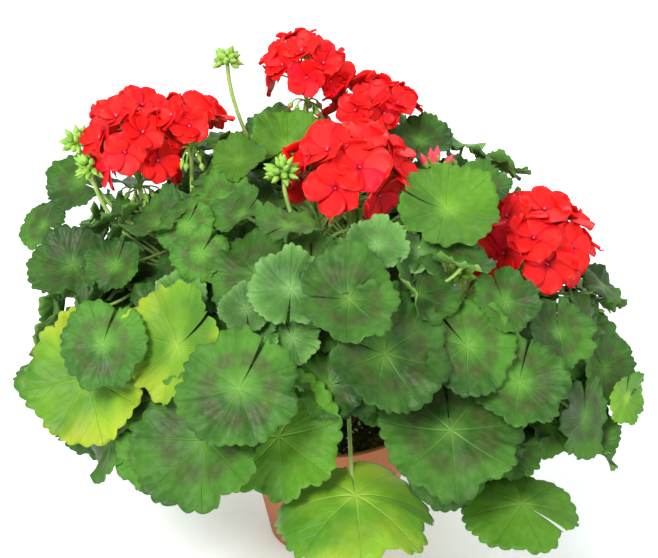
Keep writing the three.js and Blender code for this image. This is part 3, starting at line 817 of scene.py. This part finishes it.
# %% [markdown]
# ## Open heads
# A floret has five broad petals that overlap like tiles round a crimson throat, and in fuller heads
# one or two smaller ones stand up inside it. The florets crowd over a dome, each on a thin stalk
# from the fork, where buds that are still closed nod among them. A petal is one small grid, copied
# with its own bend.

# %% Petals
PETAL_ROWS, PETAL_COLUMNS = 8, 7
PETAL_LENGTH = 0.0175, 0.0245  # the shortest and the longest that a head's petals are
PETAL_THICKNESS = 0.00035


def petals(centres, axes, sizes, lift, twist, draw):
    """Grids of petals, (petals, rows, columns). Along the petal s runs from 0 to 1, and its half
    width is 0.56 sin(pi s^1.3)^0.6 of its length. It rises by lift, cups across its width, rolls
    its end back, and its edge waves. axes holds its length, width and upward directions."""
    count = len(centres)
    s = np.linspace(0.03, 0.985, PETAL_ROWS)[None, :, None]
    t = np.linspace(-1, 1, PETAL_COLUMNS)[None, None, :]
    own = draw.uniform(-1, 1, (6, count, 1, 1))
    half = 0.56 * np.sin(np.pi * s**1.3) ** 0.6
    along = s + 0.07 * (1 - t**2) * s**4 - 0.03 * np.exp(-((t / 0.25) ** 2)) * s**8
    aside = half * t * (1 + 0.06 * own[0])
    rise = lift[:, None, None] * s - (0.14 + 0.09 * own[1]) * s**2.2
    rise = rise + (0.1 + 0.06 * own[2]) * t**2 * s
    rise = rise + 0.035 * own[3] * np.sin(2.6 * t + 3 * own[4]) * s**2
    rise = rise + 0.018 * np.sin(6 * t + 6 * own[5]) * s**5
    twist = twist[:, None, None]
    aside, rise = aside * np.cos(twist), rise + aside * np.sin(twist)
    local = np.stack(np.broadcast_arrays(along, aside, rise), 3) * sizes[:, None, None, None]
    points = centres[:, None, None] + np.einsum("nrck,nkj->nrcj", local, axes)
    flat = np.stack(np.broadcast_arrays(0.5 + aside / 1.3, 0.02 + 0.9 * s), 3)
    return points, flat


def frames(face, spin):
    """For each face direction, a direction at right angles to it that is turned by spin."""
    start = np.where(np.abs(face[:, 2:3]) > 0.95, np.array([[1.0, 0, 0]]), UP)
    x = unit(np.cross(start, face))
    y = np.cross(face, x)
    return x * np.cos(spin)[:, None] + y * np.sin(spin)[:, None]


def buds_at(bases, ways, lengths, radii, rings=7, sides=7):
    """Closed buds: rods whose radius follows sin(pi s^0.8), fullest near the stalk end."""
    s = np.linspace(0, 1, rings)
    paths = bases[:, None] + ways[:, None] * (lengths[:, None] * s)[:, :, None]
    shape = np.sin(np.pi * np.clip(s, 0.04, 0.97) ** 0.8)
    return rods(paths, radii[:, None] * shape, sides)


def head_stalk(name, node, start, end, radii):
    """A stalk leaves its stem half outwards and half upwards and meets its head from below."""
    way = end - start
    reach = 0.35 * np.linalg.norm(way)
    leave = reach * unit(unit(way) + UP)
    path = bezier(start - 0.003 * unit(way), start + leave, end - reach * UP, end, len(radii))
    points, faces, _ = rods(path[None], radii[None], 10)
    piece(name, points, faces, [STALK], [node], values={"ripe": 0.1})


# how each head differs: how closely its florets crowd, how deep its petals cup, where its spiral
# starts, how many small petals stand inside a floret, and how far down the florets go (1 is level)
HEAD_HABIT = {
    "flower_head_01": (1.05, 0.28, 4.4, 1, 1.5),
    "flower_head_02": (1.15, 0.32, 4.2, 1, 1.2),
    "flower_head_03": (1.4, 0.5, 4.7, 2, 1.3),
    "flower_head_04": (1.4, 0.4, 5.0, 1, 1.2),
    "flower_head_05": (1.15, 0.26, 4.3, 0, 1.45),
    "flower_head_06": (1.35, 0.2, 4.0, 0, 1.35),
}


def grow_head(name, head, seed):
    """The florets stand on a golden spiral from the top of the dome down its sides."""
    draw = np.random.default_rng(seed)
    crowding, cup, start, inner, depth = HEAD_HABIT[name]
    half = head["half"]
    size = np.clip(0.5 * half[:2].mean(), *PETAL_LENGTH)
    dome = half - np.array([0.12, 0.12, 0.1 + 0.8 * cup]) * size
    area = 2 * np.pi * np.mean([dome[0] * dome[1], dome[0] * dome[2], dome[1] * dome[2]]) * depth
    count = int(np.ceil(crowding * area / (np.pi * size**2 * 0.72)))
    away = golden(count, depth, start)
    centre = head["middle"] + away * dome + draw.normal(0, 0.0016, (count, 3))
    face = unit(unit(away / dome) + 0.22 * UP + 0.12 * draw.normal(size=(count, 3)))

    spin = draw.uniform(0, 2 * np.pi, count)
    five = np.arange(5) * 2 * np.pi / 5
    turn = (spin[:, None] + five + draw.normal(0, 0.08, (count, 5))).ravel()
    outer_face = np.repeat(face, 5, 0)
    outer_way = frames(outer_face, turn)
    outer_lift = np.repeat(cup + 0.25 * draw.random(count), 5) + draw.normal(0, 0.06, count * 5)
    outer_size = np.repeat(size * draw.uniform(0.92, 1.1, count), 5)
    outer_size = outer_size * draw.uniform(0.94, 1.06, count * 5)
    ways_round = np.arange(inner) * 2 * np.pi / max(inner, 1) + 0.6
    inner_turn = (spin[:, None] + ways_round + draw.normal(0, 0.3, (count, inner))).ravel()
    inner_face = np.repeat(face, inner, 0)
    inner_way = frames(inner_face, inner_turn)
    inner_lift = draw.uniform(0.7, 1.2, count * inner)
    inner_size = size * draw.uniform(0.5, 0.72, count * inner)
    throat = centre - face * 0.003
    centres = np.concatenate([np.repeat(throat, 5, 0), np.repeat(throat, inner, 0)])
    way = np.concatenate([outer_way, inner_way])
    up = np.concatenate([outer_face, inner_face])
    axes = np.stack([way, np.cross(up, way), up], 1)
    sizes = np.concatenate([outer_size, inner_size])
    lift = np.concatenate([outer_lift, inner_lift])
    outer_twist, inner_twist = draw.normal(0.2, 0.04, count * 5), draw.normal(0, 0.1, count * inner)
    twist = np.concatenate([outer_twist, inner_twist])
    points, flat = petals(centres, axes, sizes, lift, twist, draw)
    faces = grid_faces(PETAL_ROWS, PETAL_COLUMNS, len(sizes))
    # painted shade: the tone rises the further a petal faces down, plus a random part, and the
    # petal paint turns it crimson
    shade = np.clip(0.45 - 0.35 * up[:, 2] + 0.22 * draw.normal(size=len(sizes)), 0, 1)
    tone = np.repeat(shade, PETAL_ROWS * PETAL_COLUMNS)
    tone = {"tone": tone}
    shape = piece(f"petals_{name[-2:]}", points, faces, [PETAL], [name], flat, tone)
    thick = shape.modifiers.new("thickness", "SOLIDIFY")
    thick.thickness, thick.offset = PETAL_THICKNESS, 0.0

    base = throat - face * 0.0035
    fork = np.broadcast_to(head["fork"], base.shape)
    length = np.linalg.norm(base - fork, axis=1, keepdims=True)
    path = bezier(fork, fork + 0.3 * length * UP, base - 0.3 * length * face, base, 9)
    stalks = rods(path, 0.0008, 6)
    parts = [(stalks[0], stalks[1], 0.2 + 0.25 * stalks[2])]
    sepals = buds_at(
        np.repeat(base, 5, 0),
        unit(frames(outer_face, turn + 0.6) * 0.9 + outer_face * 0.35),
        np.full(count * 5, 0.0085),
        np.full(count * 5, 0.0013),
        5,
        5,
    )
    parts.append((sepals[0], sepals[1], 0.15))
    stamens = buds_at(
        np.repeat(throat, 5, 0),
        unit(frames(outer_face, turn) * 0.3 + outer_face),
        draw.uniform(0.003, 0.0045, count * 5),
        np.full(count * 5, 0.0005),
        4,
        4,
    )
    piece(f"stamens_{name[-2:]}", stamens[0], stamens[1], [STAMEN], [name])

    nods = 11
    round_fork = draw.uniform(0, 2 * np.pi, nods)
    tilt = draw.uniform(-0.75, 0.25, nods)
    way = np.stack([np.cos(round_fork), np.sin(round_fork), tilt], 1)
    hang = head["fork"] + UP * 0.002 + way * draw.uniform(0.010, 0.019, (nods, 1))
    low = np.broadcast_to(head["fork"], hang.shape)
    shank = rods(bezier(low, low + 0.008 * UP, hang + 0.004 * UP, hang, 8), 0.0008, 5)
    parts.append((shank[0], shank[1], 0.1))
    ways = unit(way * [0.5, 0.5, 0.3] - 0.75 * UP)
    length, width = draw.uniform(0.007, 0.011, nods), draw.uniform(0.0022, 0.003, nods)
    closed = buds_at(hang, ways, length, width)
    blush = np.repeat(draw.uniform(-0.4, 1.0, nods), len(closed[2]) // nods)
    parts.append((closed[0], closed[1], 0.15 + blush * smooth(0.2, 0.8, closed[2])))
    points, faces, ripe = joined(parts)
    piece(f"buds_{name[-2:]}", points, faces, [BUD_SKIN], [name], values={"ripe": ripe})

    share = np.linspace(0, 1, 26)
    radii = 0.0021 + 0.0007 * smooth(0.94, 1, share) + 0.0005 * (1 - smooth(0, 0.15, share))
    head_stalk(f"flower_stalk_{name[-2:]}", name, head["base"], head["fork"] + UP * 0.001, radii)
    return count


for number, (name, head) in enumerate(HEADS.items()):
    print(name, "florets:", grow_head(name, head, 300 + number))

# %% [markdown]
# ## Heads in bud
# A young head is a tight tuft of downy green buds over a ruff of small pointed bracts. One is
# older: its buds have stretched out on their own stalks and show pink.

# %% Heads in bud
OLDER_BUD_RADIUS = 0.0155


def grow_buds(name, bud, seed):
    """Buds point out from a middle under the tuft, on a golden spiral; bracts lie below them."""
    draw = np.random.default_rng(seed)
    middle, radius = bud["middle"], bud["radius"]
    open_soon = radius > OLDER_BUD_RADIUS
    count = 16 if open_soon else 26
    way = golden(count, 1.45, seed)
    high = way[:, 2] > math.cos(1.0)
    way = unit(way + 0.16 * draw.normal(size=way.shape))
    root = middle - UP * 0.45 * radius
    parts = []
    if open_soon:
        foot = root + way * radius * draw.uniform(0.5, 0.8, (count, 1))
        low = np.broadcast_to(root, foot.shape)
        shank = rods(bezier(low, low + 0.3 * radius * UP, foot, foot, 7), 0.0007, 5)
        parts.append((shank[0], shank[1], 0.1))
        ripe = np.where(high, draw.uniform(0.7, 1.1, count), 0.0)
        length, width = 0.011 + 0.006 * high, 0.0028 + 0.0010 * high
        ways = unit(way + UP * np.where(high, 0.8, -0.5)[:, None])
    else:
        foot = root + way * radius * 0.35
        ripe = np.zeros(count)
        length = radius * draw.uniform(0.75, 1.0, count)
        width = draw.uniform(0.0024, 0.0034, count)
        ways = way
    closed = buds_at(foot, ways, length, width, 7, 6)
    blush = np.repeat(ripe, len(closed[2]) // count) * smooth(0.25, 0.7, closed[2])
    parts.append((closed[0], closed[1], 0.1 + blush))
    around = np.linspace(0, 2 * np.pi, 10, endpoint=False) + seed
    ruff = unit(np.stack([np.cos(around), np.sin(around), np.tile([-0.5, 0.15], 5)], 1))
    bracts = buds_at(root + 0 * ruff, ruff, np.full(10, radius * 0.95), np.full(10, 0.0016), 6, 5)
    parts.append((bracts[0], bracts[1], 0.05))
    points, faces, ripe = joined(parts)
    piece(f"tuft_{name[-2:]}", points, faces, [BUD_SKIN], [name], values={"ripe": ripe})
    top = root + UP * 0.002
    head_stalk(f"bud_stalk_{name[-2:]}", name, bud["base"], top, np.full(24, 0.0019))


for number, (name, bud) in enumerate(BUDS.items()):
    grow_buds(name, bud, 500 + number)
print("bud heads grown:", len(BUDS))

# %% [markdown]
# ## Pot
# A nursery pot is thin plastic: a tapered wall, a stiff band under a rolled rim and holes in the
# foot. It is one turned surface, hung on the rim's radius and height, which come from the CAD box.
# A Boolean drills the holes, and it is applied at once because the cutter rides nowhere.

# %% Pot
POT_SIDES = 144
WALL = 0.0024
FOOT_EDGE = 0.002
DRAIN_HOLES = 4
DRAIN_RADIUS, DRAIN_CIRCLE = 0.005, 0.036
rim, top = POT_HIGH[0], POT_HIGH[2]
band = rim - 0.0015  # the rolled edge stands out from the band by this
below_band = band - 0.004
foot = rim - 0.0275
outer = [(foot - FOOT_EDGE, 0), (foot, FOOT_EDGE), (below_band, top - 0.024), (band, top - 0.022)]
outer += [(band, top - 0.005), (rim, top - 0.004), (rim, top - 0.001), (band, top)]
inner = [(band - WALL, top), (band - WALL, top - 0.02), (below_band - WALL, top - 0.024)]
inner += [(foot - FOOT_EDGE, WALL)]
profile = np.array(outer + inner)
turn = np.linspace(0, 2 * np.pi, POT_SIDES, endpoint=False)
rings = rings_at(profile[:, :1], profile[:, 1:], turn)
points, faces = turned(rings, [[0, 0, 0], [0, 0, WALL]])
pot = piece("pot_shell", points, faces, [POT], ["pot"])
cutter_points, cutter_faces = [], []
for k in range(DRAIN_HOLES):
    angle = 2 * math.pi * (k + 0.5) / DRAIN_HOLES
    spot = DRAIN_CIRCLE * np.array([math.cos(angle), math.sin(angle), 0])
    cut = rods(np.array([[spot - 0.01 * UP, spot + 0.01 * UP]]), DRAIN_RADIUS, 24)
    cutter_points.append(cut[0])
    cutter_faces += [group + len(cut[0]) * k for group in cut[1]]
cutter = piece("holes", np.concatenate(cutter_points), cutter_faces, [POT])
cut = pot.modifiers.new("drain holes", "BOOLEAN")
cut.object, cut.operation, cut.solver = cutter, "DIFFERENCE", "EXACT"
shell = bpy.data.meshes.new_from_object(pot.evaluated_get(bpy.context.evaluated_depsgraph_get()))
pot.modifiers.clear()
pot.data = shell
bpy.data.objects.remove(cutter)
shell.set_sharp_from_angle(angle=math.radians(30))
soften = pot.modifiers.new("soft edges", "BEVEL")
soften.width, soften.segments = 0.0005, 2
soften.limit_method, soften.angle_limit = "ANGLE", math.radians(25)
print("pot faces:", len(shell.polygons))

# %% [markdown]
# ## Soil
# Potting mix is dark and crumbly, with white perlite and chips of bark on top. The bed is one
# turned grid with bumps, and the crumbs are small lumps pressed into it.

# %% Soil
SOIL_LOW, SOIL_HIGH = (np.array(corner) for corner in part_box("soil"))
BED = SOIL_HIGH[0] - 0.0003
WAVES = rng.normal(0, 1, (40, 2)) * np.exp(rng.uniform(4.0, 6.3, (40, 1)))
PHASES = rng.uniform(0, 2 * np.pi, 40)


def soil_height(x, y):
    """The bed's crown falls 4 mm to the wall. Forty waves of random lengths make the crumbs."""
    crumbs = np.sin(x[..., None] * WAVES[:, 0] + y[..., None] * WAVES[:, 1] + PHASES).sum(-1)
    return SOIL_HIGH[2] - 0.004 * (x**2 + y**2) / BED**2 + 0.00028 * crumbs


BED_ROWS, BED_SIDES = 60, 180
radius = np.linspace(0.002, BED, BED_ROWS)[:, None]
turn = np.linspace(0, 2 * np.pi, BED_SIDES, endpoint=False)[None]
bed = rings_at(radius, soil_height(radius * np.cos(turn), radius * np.sin(turn)), turn)
under = rings_at(foot - WALL - 0.0006, SOIL_LOW[2], turn)
poles = [[0, 0, bed[0, :, 2].mean()], [0, 0, SOIL_LOW[2]]]
points, faces = turned(np.concatenate([bed, under]), poles, flip=True)
piece("soil_bed", points, faces, [SOIL], ["soil"])


def crumbs(name, count, size, flatness, material, seed):
    """Octahedra with their corners pushed about, some flat, lying on the bed turned at random."""
    draw = np.random.default_rng(seed)
    reach = BED * 0.97 * np.sqrt(draw.random(count))
    turn = draw.uniform(0, 2 * np.pi, count)
    x, y = reach * np.cos(turn), reach * np.sin(turn)
    corners = np.array([[1, 0, 0], [0, 1, 0], [-1, 0, 0], [0, -1, 0], [0, 0, 1], [0, 0, -1.0]])
    local = corners * draw.uniform(0.6, 1.4, (count, 6, 1)) * [1, 1, flatness]
    spin, tilt = draw.uniform(0, 2 * np.pi, count), draw.normal(0, 0.4, count)
    c, s, none, one = np.cos(spin), np.sin(spin), np.zeros(count), np.ones(count)
    axes = np.stack([c, s, tilt, -s, c, none, none, -tilt, one], 1).reshape(count, 3, 3)
    size = size * draw.uniform(0.5, 1.2, (count, 1, 1))
    points = np.einsum("nik,nkj->nij", local, unit(axes)) * size
    points = points + np.stack([x, y, soil_height(x, y) + 0.0004], 1)[:, None]
    ring = np.arange(4)
    tops = np.stack([ring, (ring + 1) % 4, np.full(4, 4)], 1)
    lows = np.stack([(ring + 1) % 4, ring, np.full(4, 5)], 1)
    sides = np.concatenate([tops, lows])
    faces = (sides + 6 * np.arange(count)[:, None, None]).reshape(-1, 3)
    piece(name, points, faces, [material], ["soil"]).data.shade_flat()


crumbs("perlite", 170, 0.0016, 0.8, PERLITE, 71)
crumbs("bark", 260, 0.0034, 0.35, BARK, 72)
print("soil bed radius:", round(BED, 4))
